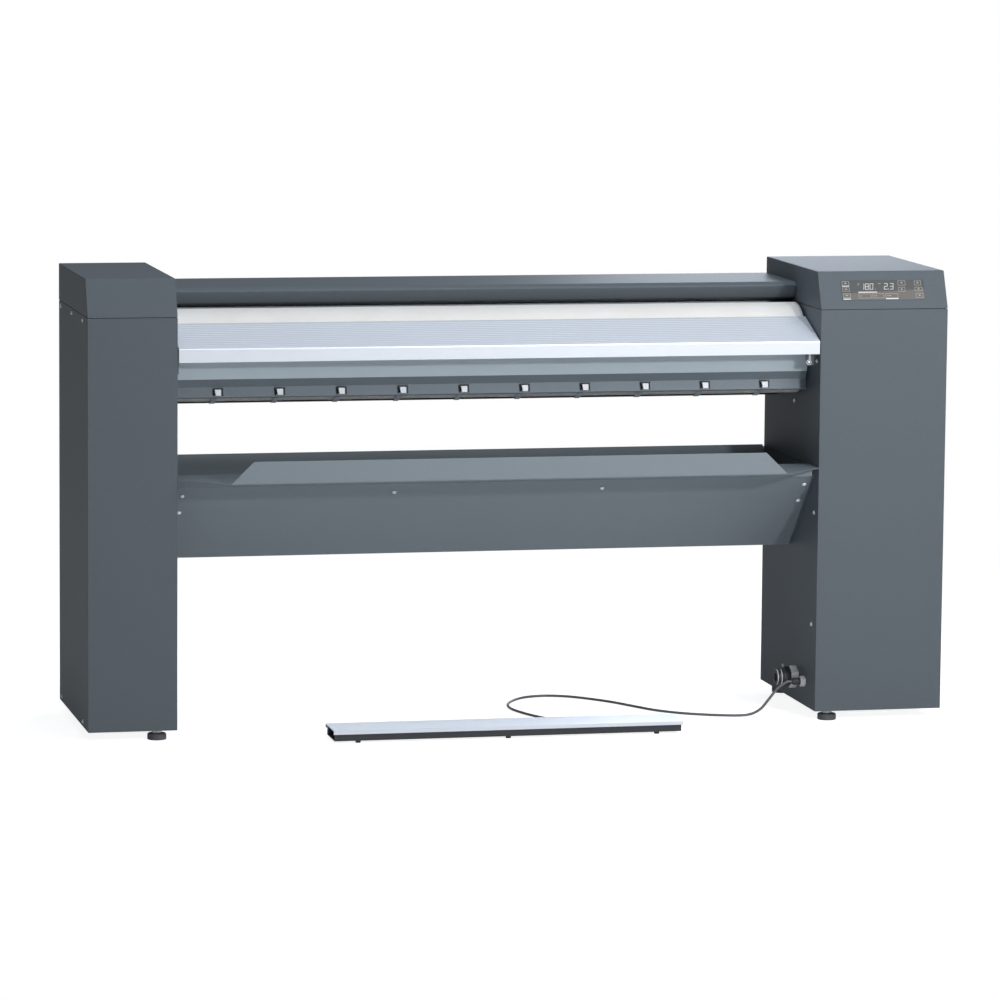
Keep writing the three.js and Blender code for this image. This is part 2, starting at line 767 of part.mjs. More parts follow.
function buildTrough() {
  const x0 = leftInner + troughEndGap;
  const x1 = rightInner - troughEndGap;
  const inside = arc(rollerY, rollerZ, troughInner, troughLowAngle, troughHighAngle, 18);
  const outside = arc(rollerY, rollerZ, troughOuter, troughHighAngle, troughLowAngle, 18);
  const high = THREE.MathUtils.degToRad(troughHighAngle);
  const leadIn = [Math.cos(high) * troughLeadIn, Math.sin(high) * troughLeadIn];
  const lip = [outside[0][0] + leadIn[0], outside[0][1] + leadIn[1]];
  const section = [...inside, lip, [lip[0] + troughEdge, lip[1] - troughEdge], ...outside.slice(1)];
  add('heated_trough', alongX(section, x0, x1), paint.aluminium);
  const rodCircle = troughOuter + rodRadius + fit;
  for (const [name, degrees] of Object.entries(rodAngles)) {
    const [[y, z]] = arc(rollerY, rollerZ, rodCircle, degrees, degrees, 1);
    add(name, rodX(rodRadius, x0 + 8, x1 - 8, y, z, 12), paint.polishedSteel);
  }
  const lugEnd = troughEndGap + lugLength + 5;
  add('trough_blanket', alongX([
    ...arc(rollerY, rollerZ, blanketInner, blanketLowAngle, blanketHighAngle, 14),
    ...arc(rollerY, rollerZ, blanketInner + blanketThickness, blanketHighAngle, blanketLowAngle, 14),
  ], leftInner + lugEnd, rightInner - lugEnd), paint.blanket);
}

// ----------------------------------------------------- build: covers and finger guard

function buildCovers() {
  const x0 = leftInner + fit;
  const x1 = rightInner - fit;
  add('top_cover', alongX(foldedSheet([
    [coverFront, coverTop - coverFrontFlange], [coverFront, coverTop],
    [columnDepth, coverTop], [columnDepth, coverTop - coverRearFlange],
  ], -sheet, bend), x0, x1), paint.ironGrey);
  const rearY = columnDepth - sheet - fit;
  add('rear_cover', alongX(foldedSheet([
    [rearY, rearCoverTop], [rearY, rearCoverBottom], [rearY - rearCoverReturn, rearCoverBottom],
  ], -sheet, bend), x0, x1), paint.ironGrey);
  add('guard_rod', rodX(guardRodRadius, x0, x1, guardRodY, guardRodZ, 12), paint.polishedSteel);
  add('finger_guard', fingerGuard(), paint.ironGrey);
}

// Folded bar in front of the top cover: nose, leaning front and a lip over the roller.
function fingerGuard() {
  const crown = [coverFront - seam, coverTop];
  const nose = [guardRodY - guardNoseReach, guardRodZ + guardEndPlate];
  const chin = [nose[0] + guardLeanDepth, nose[1] - guardLeanDrop];
  const lip = [chin[0] + guardLipDepth, chin[1] - guardLipDrop];
  const x0 = leftInner + guardEndGap;
  const x1 = rightInner - guardEndGap;
  const bar = alongX(foldedSheet([crown, nose, chin, lip], sheet, bend), x0, x1);
  const cheek = rounded([
    crown, nose, chin, [chin[0] + sheet * 2, chin[1] + sheet * 2],
    [crown[0], crown[1] - guardCheekDepth],
  ], { 1: bend + sheet, 2: bend + sheet });
  const hole = rodX(guardRodRadius + fit, x0 - 1, x1 + 1, guardRodY, guardRodZ, 16);
  const ends = [[x0, x0 + guardEndPlate], [x1 - guardEndPlate, x1]].map(([a, b]) => alongX(cheek, a, b));
  return cut(join(bar, ...ends), hole);
}

// ------------------------------------------------------ build: feed board and panel

const boardSlope = (boardRearZ - boardFrontZ) / (boardRearY - boardFrontY);
const boardTopAt = (y) => boardFrontZ + boardSlope * (y - boardFrontY);
const boardAngle = Math.atan(boardSlope);
const boardUnder = boardWall / Math.cos(boardAngle);

// Extruded board: ribbed top, rounded front edge and a plain lip.
function feedBoard() {
  const along = [Math.cos(boardAngle), Math.sin(boardAngle)];
  const across = [-along[1], along[0]];
  const place = (run, rise) => [
    boardFrontY + along[0] * run + across[0] * rise, boardFrontZ + along[1] * run + across[1] * rise,
  ];
  const length = Math.hypot(boardRearY - boardFrontY, boardRearZ - boardFrontZ);
  const pitch = length / (boardRibs + 1);
  const ribs = [];
  for (let i = 1; i <= boardRibs; i += 1) {
    const run = i * pitch;
    ribs.push(
      place(run - boardRibWidth / 2, 0), place(run - boardRibWidth / 3, boardRibHeight),
      place(run + boardRibWidth / 3, boardRibHeight), place(run + boardRibWidth / 2, 0),
    );
  }
  const lipBottom = boardFrontZ - boardLip;
  const edge = 4;
  const rearUnder = place(length - edge, -boardWall);
  const section = [
    [boardFrontY, lipBottom], [boardFrontY + boardWall, lipBottom],
    [boardFrontY + boardWall, boardFrontZ - boardUnder + boardSlope * boardWall], rearUnder,
    place(length, -1), place(length, 0), ...ribs.reverse(), place(0, 0),
  ];
  const nose = rounded(section, { [section.length - 1]: boardNose });
  return alongX(nose, leftInner + boardEndGap, rightInner - boardEndGap);
}

// Angle under one end of the board: one leg on the column, one leg facing forwards.
function boardBracket(inner, intoGap, strap) {
  const at = (distance) => inner + intoGap * distance;
  const strapBack = bracketFrontY + bracketWall;
  const outline = [
    [at(fit), bracketFrontY], [at(strap), bracketFrontY], [at(strap), strapBack],
    [at(fit + bracketWall), strapBack], [at(fit + bracketWall), bracketFrontY + bracketDepth],
    [at(fit), bracketFrontY + bracketDepth],
  ];
  return alongZ(outline, bracketBottom, boardTopAt(bracketFrontY) - boardUnder - fit);
}

const panelLine = [
  [panelTopY + 15, panelTopZ + 2], [panelTopY, panelTopZ], [panelKneeY, panelKneeZ],
  [panelBendY, panelBendZ], [panelEdgeY, panelEdgeZ], [panelEdgeY + panelHem, panelEdgeZ - 2],
];
const stripperX = (i) => gapCentre + (i - (stripperCount - 1) / 2) * stripperPitch;

function frontPanel() {
  const endGap = fit + bracketWall + fit;
  const section = foldedSheet(panelLine, sheet, bend);
  const panel = alongX(section, leftInner + endGap, rightInner - endGap);
  const slots = [];
  for (let i = 0; i < stripperCount; i += 1) {
    const x = stripperX(i);
    slots.push(box(
      x - clipWidth / 2 - slotLead, x + clipWidth / 2 + slotExtra,
      panelEdgeY - 10, panelBendY + 10, clipBottomZ - slotClear, clipTopZ + 3,
    ));
  }
  return cut(panel, ...slots);
}

// Strip behind the panel with a row of spring clips and the tongues that peel linen off.
function stripperRail() {
  const strip3 = offsetLine([[panelBendY, panelBendZ], [panelEdgeY, panelEdgeZ]], sheet + fit);
  const between = (t) => [
    strip3[0][0] + (strip3[1][0] - strip3[0][0]) * t, strip3[0][1] + (strip3[1][1] - strip3[0][1]) * t,
  ];
  const railTop = between(0.08);
  const railFoot = between(0.82);
  const first = stripperX(0) - clipWidth / 2;
  const last = stripperX(stripperCount - 1) + clipWidth / 2;
  const strip = alongX(foldedSheet([railTop, railFoot], sheet), first, last);
  const fingers = [];
  for (let i = 0; i < stripperCount; i += 1) {
    const x = stripperX(i);
    const tongue = foldedSheet([railTop, railFoot, [tongueTipY, tongueTipZ]], sheet);
    fingers.push(alongX(tongue, x - tongueWidth / 2, x + tongueWidth / 2));
    const clipFront = panelEdgeY + 4 - clipReach;
    const clip = foldedSheet([
      [railTop[0] + sheet / 2, clipTopZ], [clipFront + 2, clipTopZ], [clipFront - 0.5, clipBottomZ + 1],
      [clipFront + 1, clipBottomZ], [panelEdgeY + 4, clipBottomZ],
    ], sheet * 0.8);
    const start = x - clipWidth / 2;
    const bevel = alongZ([
      [start - 1, clipFront - clipReach], [start + clipBevel, clipFront - clipReach],
      [start + clipBevel, clipFront], [start - 1, panelEdgeY + 1],
    ], clipBottomZ - clipReach, clipTopZ + clipReach);
    fingers.push(cut(alongX(clip, start, start + clipWidth), bevel));
  }
  return join(strip, ...fingers);
}

function buildFront() {
  add('feed_board', feedBoard(), paint.aluminium);
  add('left_board_bracket', boardBracket(leftInner, 1, leftBracketStrap), paint.zinc);
  add('right_board_bracket', boardBracket(rightInner, -1, rightBracketStrap), paint.zinc);
  add('front_panel', frontPanel(), paint.ironGrey);
  add('stripper_rail', stripperRail(), paint.zinc);
}

// ------------------------------------------------------------------------- build: tray

const valley = [trayValleyY, trayValleyZ];
const rim = [columnDepth, shelfZ];
const rearStack = 2 * sheet + fit;
const rearAngle = Math.atan2(rim[1] - valley[1], rim[0] - valley[0])
  - Math.asin(rearStack / Math.hypot(rim[0] - valley[0], rim[1] - valley[1]));
const rearUp = [Math.cos(rearAngle), Math.sin(rearAngle)];

// Shelf with its front upstand; behind the bend it slopes down to the rear wall.
function trayShelf() {
  const under = shelfZ - sheet;
  const slopeStart = [shelfBend, under];
  const slope = [Math.SQRT1_2, -Math.SQRT1_2];
  const landing = meet(slopeStart, slope, rim, rearUp);
  const clear = 3;
  const slopeEnd = [landing[0] - slope[0] * clear, landing[1] - slope[1] * clear];
  const line = [[shelfFront, shelfZ + upstandHeight], [shelfFront, under], slopeStart, slopeEnd];
  const blank = alongX(foldedSheet(line, sheet, bend), leftInner + fit, rightInner - fit);
  const spare = 20;
  const cutters = [];
  for (const [face, into] of [[leftInner, 1], [rightInner, -1]]) {
    const at = (x) => face + into * x;
    const cornerSlope = -shelfFront / cornerCut;
    cutters.push(alongZ([
      [at(-spare), spare * cornerSlope], [at(cornerCut + spare), shelfFront - spare * cornerSlope],
      [at(-spare), shelfFront - spare * cornerSlope],
    ], shelfZ - 2 * sheet, shelfZ + upstandHeight + 1));
    const bevelSlope = upstandHeight / upstandBevel;
    cutters.push(alongY([
      [at(-spare), shelfZ], [at(cornerCut), shelfZ],
      [at(cornerCut + upstandBevel + spare), shelfZ + upstandHeight + spare * bevelSlope],
      [at(-spare), shelfZ + upstandHeight + spare * bevelSlope],
    ], shelfFront - 5, shelfFront + 5));
    const plateEnd = fit + trayEndPlate + fit;
    const [end0, end1] = spanOf(face, into, -1, plateEnd);
    cutters.push(box(end0, end1, shelfBend - 20, columnDepth, trayValleyZ, under - fit));
  }
  return cut(blank, ...cutters);
}

const trayWallTop = shelfZ - sheet - fit;
const trayWallLine = [
  [trayWallFront, trayWallTop], [trayWallFront, shelfZ - trayWallDrop], [traySeamY, traySeamZ], valley,
];

function trayFrontWall() {
  const hem = [valley[0] + rearUp[0] * trayHem, valley[1] + rearUp[1] * trayHem];
  const line = [[trayWallFront + trayWallTopFlange, trayWallTop], ...trayWallLine, hem];
  return alongX(foldedSheet(line, sheet), leftInner + trayWallEndGap, rightInner - trayWallEndGap);
}

function trayRearWall() {
  const run = Math.hypot(rim[0] - valley[0], rim[1] - valley[1]) - 4;
  const foot = [rim[0] - rearUp[0] * run, rim[1] - rearUp[1] * run];
  const line = [[rim[0], rim[1] - trayRimHem], rim, foot];
  const endGap = fit + trayEndPlate + fit;
  return alongX(foldedSheet(line, sheet), leftInner + endGap, rightInner - endGap);
}

// End plate bolted to the column, with a flange that the front wall is screwed to.
function trayEnd(inner, intoGap) {
  const [plate0, plate1] = spanOf(inner, intoGap, fit, fit + trayEndPlate);
  const inside = offsetLine(trayWallLine, sheet + fit);
  const top = trayWallTop - sheet - fit;
  const backTop = meet([0, top], [1, 0], [rim[0] - 4, rim[1] - 4], rearUp);
  const plate = alongX([
    [inside[0][0], top], inside[1], inside[2], inside[3], [backTop[0], top],
  ], plate0, plate1);
  const [flange0, flange1] = spanOf(inner, intoGap, fit, trayEndFlange);
  const shorten = 0.8;
  const low = [
    inside[2][0] + (inside[3][0] - inside[2][0]) * shorten,
    inside[2][1] + (inside[3][1] - inside[2][1]) * shorten,
  ];
  const flange = alongX(foldedSheet([inside[1], inside[2], low], sheet), flange0, flange1);
  return join(plate, flange);
}

function buildTray() {
  add('tray_shelf', trayShelf(), paint.ironGrey);
  add('tray_front_wall', trayFrontWall(), paint.ironGrey);
  add('tray_rear_wall', trayRearWall(), paint.ironGrey);
  add('left_tray_end', trayEnd(leftInner, 1), paint.ironGrey);
  add('right_tray_end', trayEnd(rightInner, -1), paint.ironGrey);
}

// ----------------------------------------------------------------------- build: glands

function buildGlands() {
  const inside = 10;
  const nut = 17;
  const mains = turnedX([
    [0, -inside], [mainsThread, -inside], [mainsThread, fit], [21, fit], [21, 34],
    [17.5, 36], [17.5, mainsGlandLength], [0, mainsGlandLength],
  ], rightInner, mainsGlandY, glandZ, -1);
  const hexagon = rodX(
    mainsGlandRadius, rightInner - nut, rightInner - fit, mainsGlandY, glandZ, 6,
  );
  const bore = rodX(
    mainsBore, rightInner - mainsGlandLength - 1, rightInner + inside + 1, mainsGlandY, glandZ,
  );
  add('mains_gland', cut(join(mains, hexagon), bore), paint.glandPlastic);
  const small = turnedX([
    [0, -inside], [switchThread, -inside], [switchThread, fit], [8.5, fit], [8.5, 26],
    [6, switchGlandLength], [0, switchGlandLength],
  ], rightInner, switchGlandY, glandZ, -1, 24);
  add('switch_gland', join(small, rodX(
    switchGlandRadius, rightInner - 11, rightInner - fit, switchGlandY, glandZ, 6,
  )), paint.glandPlastic);
}

// --------------------------------------------------------------------- build: foot bar

function buildFootBar() {
  const barBack = barFront + barDepth;
  const plate0 = gapCentre - barLength / 2;
  const plate1 = gapCentre + barLength / 2;
  const base0 = plate0 + barBaseInset;
  const base1 = plate1 - barBaseInset;
  const front = barFront + barLipWall + barLipGap;
  const back = barBack - barLipWall - barBaseWall;

  const channel = alongX([
    [front, barBaseBottom], [back, barBaseBottom], [back, barBaseTop], [back - barBaseWall, barBaseTop],
    [back - barBaseWall, barBaseBottom + barBaseWall], [front + barBaseWall, barBaseBottom + barBaseWall],
    [front + barBaseWall, barBaseTop], [front, barBaseTop],
  ], base0, base1);
  const feet = [];
  for (const x of [base0 + 55, gapCentre, base1 - 55]) {
    for (const y of [front + barFootInset, back - barFootInset]) {
      feet.push(rodZ(barFootRadius, floorZ, barBaseBottom + 1, x, y, 16));
    }
  }
  const lugSection = [
    [barPinY - 6, barBaseBottom + 1], [back - 0.5, barBaseBottom + 1],
    [back - 0.5, barPinZ + 5], [barPinY - 6, barPinZ + 5],
  ];
  const lugs = [[base0, base0 + barLugLength], [base1 - barLugLength, base1]]
    .map(([a, b]) => alongX(lugSection, a, b));
  const pinBore = rodX(barPinRadius + fit, base0 - 1, base1 + 1, barPinY, barPinZ, 16);
  const threadRadius = 4;
  const cordHole = rodY(threadRadius + fit, back - 2 * barBaseWall, back + 1, barCordX, barCordZ, 16);
  add('foot_bar_base', cut(join(channel, ...feet, ...lugs), pinBore, cordHole), paint.darkPlastic);
  add('foot_bar_pin', rodX(barPinRadius, base0, base1, barPinY, barPinZ, 12), paint.polishedSteel);

  const under = barTop - barPlateWall;
  const lipBottom = barTop - barLip;
  const pitch = barDepth / (barRibs + 1);
  const ribs = [];
  for (let i = 1; i <= barRibs; i += 1) {
    const y = barFront + i * pitch;
    ribs.push(
      [y - barRibWidth / 2, barTop - barRibHeight], [y - barRibWidth / 3, barTop],
      [y + barRibWidth / 3, barTop], [y + barRibWidth / 2, barTop - barRibHeight],
    );
  }
  const section = [
    [barFront, lipBottom], [barFront, barTop - 2.5], [barFront + 1, barTop - barRibHeight], ...ribs,
    [barBack - 1, barTop - barRibHeight], [barBack, barTop - 2.5], [barBack, lipBottom],
    [barBack - barLipWall, lipBottom], [barBack - barLipWall, under],
    [barFront + barLipWall, under], [barFront + barLipWall, lipBottom],
  ];
  const knuckle0 = base0 + barLugLength + 3;
  const knuckle1 = base1 - barLugLength - 3;
  const web = box(knuckle0, knuckle1, barPinY - 2.5, barPinY + 2.5, barPinZ, under + 1);
  const barrel = rodX(barKnuckleRadius, knuckle0, knuckle1, barPinY, barPinZ, 20);
  add('foot_bar_plate', cut(join(alongX(section, plate0, plate1), web, barrel), pinBore), paint.aluminium);

  add('foot_bar_gland', join(
    rodY(threadRadius, back - 2 * barBaseWall, back + 1, barCordX, barCordZ, 16),
    rodY(5.5, back + fit, back + barGlandLength, barCordX, barCordZ, 16),
  ), paint.glandPlastic);
  add('foot_switch', box(
    barCordX - 20, barCordX + 10, front + 32, front + 56, barBaseBottom + barBaseWall + fit, barBaseTop,
  ), paint.darkPlastic);
  return back + barGlandLength;
}

// ------------------------------------------------------------------------- build: cord

// Round cord: straight out of its gland, down to the floor, round one wide bend and in
// at the back of the foot bar.
function buildCord(barGlandEnd) {
  const start = rightInner - switchGlandLength - fit;
  const lying = floorZ + cordRadius + 0.8;
  const route = [
    [start, switchGlandY, glandZ], [start - 10, switchGlandY, glandZ - 0.4],
    [start - 19, switchGlandY, 51.5], [start - 31, 89.5, 43], [start - 40, 90, 33],
    [start - 54, 92, 14.5], [start - 70, 94, -5], [start - 86, 96, -15.5], [1546, 98, -20],
    [1526, 100, lying], [1484, 110, lying], [1442, 129, lying], [1397, 158, lying],
    [1354, 203, lying], [1321, 259, lying], [1283, 327, lying], [1241, 382, lying],
    [1196, 424, lying], [1148, 442, lying], [1099, 431, lying], [1060, 393, lying],
    [1034, 338, lying], [1028, 282, lying], [1039, 228, lying], [1058, 176, lying],
    [1083, 128, lying], [1104, 88, lying], [1115, 58, lying + 1.5],
    [barCordX - 1, 36, barCordZ - 3.5], [barCordX, 24, barCordZ - 0.3],
    [barCordX, barGlandEnd + fit, barCordZ],
  ].map((point) => new THREE.Vector3(...point));
  const path = new THREE.CatmullRomCurve3(route, false, 'centripetal');
  const section = Array.from({ length: cordSides }, (_, i) => {
    const angle = (2 * Math.PI * i) / cordSides;
    return [cordRadius * Math.cos(angle), cordRadius * Math.sin(angle)];
  });
  const tube = new THREE.ExtrudeGeometry(shapeOf(section), {
    steps: cordSteps, extrudePath: path, bevelEnabled: false,
  });
  add('foot_switch_cord', geometryOf(solid(tube)), paint.cord);
}

// --------------------------------------------------------------------------- assembly

buildColumn('left');
buildColumn('right');
buildControls();
buildRoller();
buildDrive();
buildTrough();
buildCovers();
buildFront();
buildTray();
buildGlands();
buildCord(buildFootBar());

// Origin at the bottom centre of the machine's box.
const frontMost = Math.min(shelfFront, barFront);
machine.position.set(-totalWidth / 2, -(columnDepth + frontMost) / 2, footHeight);

export default machine;
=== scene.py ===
"""Looks of a flatwork ironer: a padded roller between two columns, a laundry tray under
it and a corded foot bar on the floor. Lengths are worked out in machine millimetres (X
right from the left column's outer face, Y back from the column fronts, Z up from the
casings' lower edge) and put into the frame in metres by to_frame."""

import json
import math

import bpy
import numpy as np
from mathutils import Matrix, Vector


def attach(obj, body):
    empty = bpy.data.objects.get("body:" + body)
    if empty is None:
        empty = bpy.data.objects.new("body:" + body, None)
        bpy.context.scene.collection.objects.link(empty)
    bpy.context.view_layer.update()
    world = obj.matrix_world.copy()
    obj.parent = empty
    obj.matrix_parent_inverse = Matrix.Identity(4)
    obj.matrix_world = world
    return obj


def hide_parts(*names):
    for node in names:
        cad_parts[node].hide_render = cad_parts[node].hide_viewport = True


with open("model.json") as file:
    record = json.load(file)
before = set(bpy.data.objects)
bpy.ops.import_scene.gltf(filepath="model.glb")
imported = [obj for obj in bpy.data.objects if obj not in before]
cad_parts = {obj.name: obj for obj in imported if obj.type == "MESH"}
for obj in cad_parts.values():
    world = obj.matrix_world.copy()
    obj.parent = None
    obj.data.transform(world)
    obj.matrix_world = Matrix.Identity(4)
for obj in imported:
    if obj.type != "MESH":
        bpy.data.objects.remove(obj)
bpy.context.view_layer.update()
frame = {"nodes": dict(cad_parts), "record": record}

# ------------------------------------------------------------------ the machine's sizes

# The frame's origin in machine millimetres: bottom centre of the machine's box.
FRAME_ORIGIN = np.array([990.0, 181.0, -25.0])

LEFT_INNER = 200.0
RIGHT_INNER = 1680.0
TOTAL_WIDTH = 1980.0
BACK = 467.0
FLOOR_Z = -25.0
ROLLER_Y = 197.0
ROLLER_Z = 821.5
ROLLER_RADIUS = 105.0
ROLLER_ENDS = (206.0, 1674.0)
CAP_BOTTOM = 926.5
# How far back and up the caps' leaning fronts go.
CAP_SLANT = (37.0, 83.5)
GLAND_Z = 56.5
MAINS_GLAND_Y = 158.0
SWITCH_GLAND_Y = 89.0
# Middles of the levelling feet.
FEET_X = {"left": 160.0, "right": 1720.0}
FEET_Y = {"front": 40.0, "rear": 427.0}


def to_frame(points):
    """Machine millimetres to frame metres: take away the frame's origin, divide by 1000."""
    return (np.asarray(points, dtype=float) - FRAME_ORIGIN) / 1000.0


# ---------------------------------------------------------------------------- the camera

# Worked out from the straight edges in the photo.
CAMERA_PLACE = (-1605.4, -11223.5, 1986.3)
CAMERA_TURNS = (0.222529, 0.128058, 0.0089587)
CAMERA_LENS = 185.43


def look_through_camera():
    """Long lens from the front left, 7 degrees above level. Right, up and forward are the
    unit vectors of a yaw, a pitch and a small roll in radians."""
    yaw, pitch, roll = CAMERA_TURNS
    forward = Vector((
        math.sin(yaw) * math.cos(pitch), math.cos(yaw) * math.cos(pitch), -math.sin(pitch)
    ))
    level = Vector((math.cos(yaw), -math.sin(yaw), 0.0))
    lift = level.cross(forward)
    right = math.cos(roll) * level + math.sin(roll) * lift
    up = -math.sin(roll) * level + math.cos(roll) * lift
    data = bpy.data.cameras.new("camera")
    data.lens = CAMERA_LENS
    data.sensor_width = 36.0
    data.clip_start = 0.5
    data.clip_end = 60.0
    camera = bpy.data.objects.new("camera", data)
    bpy.context.scene.collection.objects.link(camera)
    turn = Matrix((right, up, -forward)).transposed().to_4x4()
    place = Vector(to_frame(CAMERA_PLACE))
    camera.matrix_world = Matrix.Translation(place) @ turn
    bpy.context.scene.camera = camera


look_through_camera()

# ------------------------------------------------------------------------------- finishes


def linear(code):
    """An sRGB hex colour as linear red, green, blue and alpha."""
    values = [int(code[i:i + 2], 16) / 255.0 for i in (1, 3, 5)]
    return tuple(
        v / 12.92 if v <= 0.04045 else ((v + 0.055) / 1.055) ** 2.4 for v in values
    ) + (1.0,)


def add(tree, kind, settings=(), links=()):
    """Adds a node: settings are its properties and constant inputs, links its sources."""
    node = tree.nodes.new(kind)
    for key, value in dict(settings).items():
        if isinstance(key, int) or key in node.inputs:
            node.inputs[key].default_value = value
        else:
            setattr(node, key, value)
    for key, source in dict(links).items():
        tree.links.new(source, node.inputs[key])
    return node


def new_material(name):
    """An empty node material and its tree."""
    material = bpy.data.materials.new(name)
    material.use_nodes = True
    material.node_tree.nodes.clear()
    return material, material.node_tree


def finished(
    name, code, grain=0.0, contrast=0.0, depth=0.0, stretch=(1, 1, 1), other=None, past=(),
    **shader
):
    """A solid finish with a grain: noise of that size in mm, stretched along the given
    axes, lightens and darkens the colour by contrast and raises the surface by depth mm.
    The other colour shows where each (axis, level) of past is exceeded, in frame metres."""
    material, tree = new_material(name)
    inputs = {"Base Color": linear(code)}
    inputs.update({key.replace("_", " "): value for key, value in shader.items()})
    links = {}
    place = add(tree, "ShaderNodeTexCoord").outputs["Object"]
    if grain:
        scaled = add(
            tree, "ShaderNodeMapping", {"Scale": [1000.0 / (grain * s) for s in stretch]},
            {"Vector": place},
        ).outputs["Vector"]
        noise = add(
            tree, "ShaderNodeTexNoise", {"Scale": 1.0, "Detail": 2.0}, {"Vector": scaled}
        ).outputs["Fac"]
        if contrast:
            dark = [c * (1.0 - contrast) for c in linear(code)[:3]] + [1.0]
            light = [min(c * (1.0 + contrast), 1.0) for c in linear(code)[:3]] + [1.0]
            links["Base Color"] = add(
                tree, "ShaderNodeMix", {"data_type": "RGBA", 6: dark, 7: light}, {0: noise}
            ).outputs[2]
        if depth:
            links["Normal"] = add(
                tree, "ShaderNodeBump", {"Strength": 1.0, "Distance": depth / 1000.0},
                {"Height": noise},
            ).outputs["Normal"]
    if other:
        split = add(tree, "ShaderNodeSeparateXYZ", links={"Vector": place})
        inside = [
            add(
                tree, "ShaderNodeMath", {"operation": "GREATER_THAN", 1: level},
                {0: split.outputs[axis]},
            ).outputs[0] for axis, level in past
        ]
        while len(inside) > 1:
            inside.append(add(
                tree, "ShaderNodeMath", {"operation": "MULTIPLY"},
                {0: inside.pop(0), 1: inside.pop(0)},
            ).outputs[0])
        links["Base Color"] = add(
            tree, "ShaderNodeMix", {"data_type": "RGBA", 6: linear(code), 7: linear(other)},
            {0: inside[0], **({6: links["Base Color"]} if "Base Color" in links else {})},
        ).outputs[2]
    surface = add(tree, "ShaderNodeBsdfPrincipled", inputs, links)
    add(tree, "ShaderNodeOutputMaterial", links={"Surface": surface.outputs["BSDF"]})
    return material


# Powder coat with metal flake, baked: fine orange peel and a faint sparkle.
powder_coat = finished(
    "powder_coated_steel", "#5f676d", grain=5.0, contrast=0.06, depth=0.02,
    Metallic=0.1, Roughness=0.55, Specular_IOR_Level=0.2,
)
# The same coat on the tray and panel, which the photo shows a shade lighter.
light_coat = finished(
    "light_powder_coated_steel", "#7f8990", grain=5.0, contrast=0.05, depth=0.02,
    Metallic=0.2, Roughness=0.5, Specular_IOR_Level=0.35,
)
# The front panel: light coat above its knee, 801.5 mm over the floor, iron grey below it.
panel_coat = finished(
    "panel_powder_coat", "#737d85", grain=3.0, contrast=0.12, depth=0.02,
    other="#b7c4cc", past=(("Z", 0.8015),),
    Metallic=0.2, Roughness=0.5, Specular_IOR_Level=0.35,
)
# Hot-dip galvanised sheet: soft spangle, dull.
galvanised = finished(
    "galvanised_steel", "#8f9498", grain=14.0, contrast=0.12, Metallic=0.85, Roughness=0.5
)
# Zinc-plated spring steel: bright, slightly cloudy.
zinc_plate = finished(
    "zinc_plated_steel", "#d3d6dc", grain=6.0, contrast=0.05, Metallic=0.6, Roughness=0.38
)
# The stripper rail: rolled zinc clips and tongues, on a strip painted near black behind the panel
# as painted shade.
rail_zinc_and_slot_shade = finished(
    "zinc_plated_clips_and_painted_shade", "#dde1e7", grain=5.0, contrast=0.2, depth=0.3, stretch=(0.1, 1, 2),
    # Painted shade: near black behind the panel and above the clips, seen through the slots.
    other="#3c4045", past=(("Y", -0.083), ("Z", 0.7625)), Metallic=0.2, Roughness=0.5,
)
# Zinc-plated screw: a smooth, bright dome.
screw_zinc = finished("bright_zinc_screw", "#f6f7f9", Metallic=0.2, Roughness=0.3)
# Ground bar: fine rings round its axis, along X.
ground_steel = finished(
    "ground_steel", "#c4c7cb", grain=2.0, contrast=0.04, stretch=(0.5, 4, 4),
    Metallic=1.0, Roughness=0.25,
)
# Extruded and anodised: die lines along X.
anodised = finished(
    "anodised_aluminium", "#e8eef6", grain=3.0, contrast=0.012, depth=0.01,
    stretch=(60, 1, 1), Metallic=0.3, Roughness=0.3,
)
# Sand cast and machined only at the bores.
cast_aluminium = finished(
    "cast_aluminium", "#a9adb2", grain=2.5, contrast=0.08, depth=0.15,
    Metallic=0.9, Roughness=0.55,
)
# Needled wool felt.
felt = finished(
    "needled_felt", "#b8aa92", grain=3.0, contrast=0.15, depth=0.5, Roughness=0.95
)
# Glass fibre blanket.
glass_fibre = finished(
    "glass_fibre_blanket", "#cfcabb", grain=12.0, contrast=0.1, depth=2.0, Roughness=0.95
)
# Moulded rubber belt.
belt_rubber = finished("moulded_rubber", "#262627", grain=2.0, depth=0.05, Roughness=0.8)
# Moulded nylon: dull with a fine texture. The dark one is glass filled.
dark_nylon = finished("glass_filled_nylon", "#3b3e42", grain=2.0, depth=0.04, Roughness=0.5)
pale_nylon = finished("pale_nylon", "#fbfbfa", grain=2.0, depth=0.04, Roughness=0.45)
grey_nylon = finished("grey_nylon", "#5c5f63", grain=2.0, depth=0.05, Roughness=0.55)
# Moulded ABS.
dark_abs = finished("moulded_abs", "#34363a", grain=2.0, depth=0.04, Roughness=0.5)
# Enamelled motor housing.
motor_enamel = finished(
    "motor_enamel", "#6c7278", grain=3.0, depth=0.05, Metallic=0.2, Roughness=0.45
)
# Printed polyester film over glass.
overlay_film = finished("printed_film", "#595b5b", Roughness=0.25)
# A lighter band over the lower glass: a painted reflection, not part of the print.
overlay_painted_reflection = finished("painted_reflection_on_film", "#716f6b", Roughness=0.25)
# Screen-printed ink, lit from behind and unlit.
pale_ink = finished("screen_ink", "#f1eee8", Roughness=0.5)
dim_ink = finished("screen_ink_unlit", "#a9a49c", Roughness=0.5)
# PVC sheath.
cord_sheath = finished("pvc_sheath", "#6d7073", Roughness=0.35)

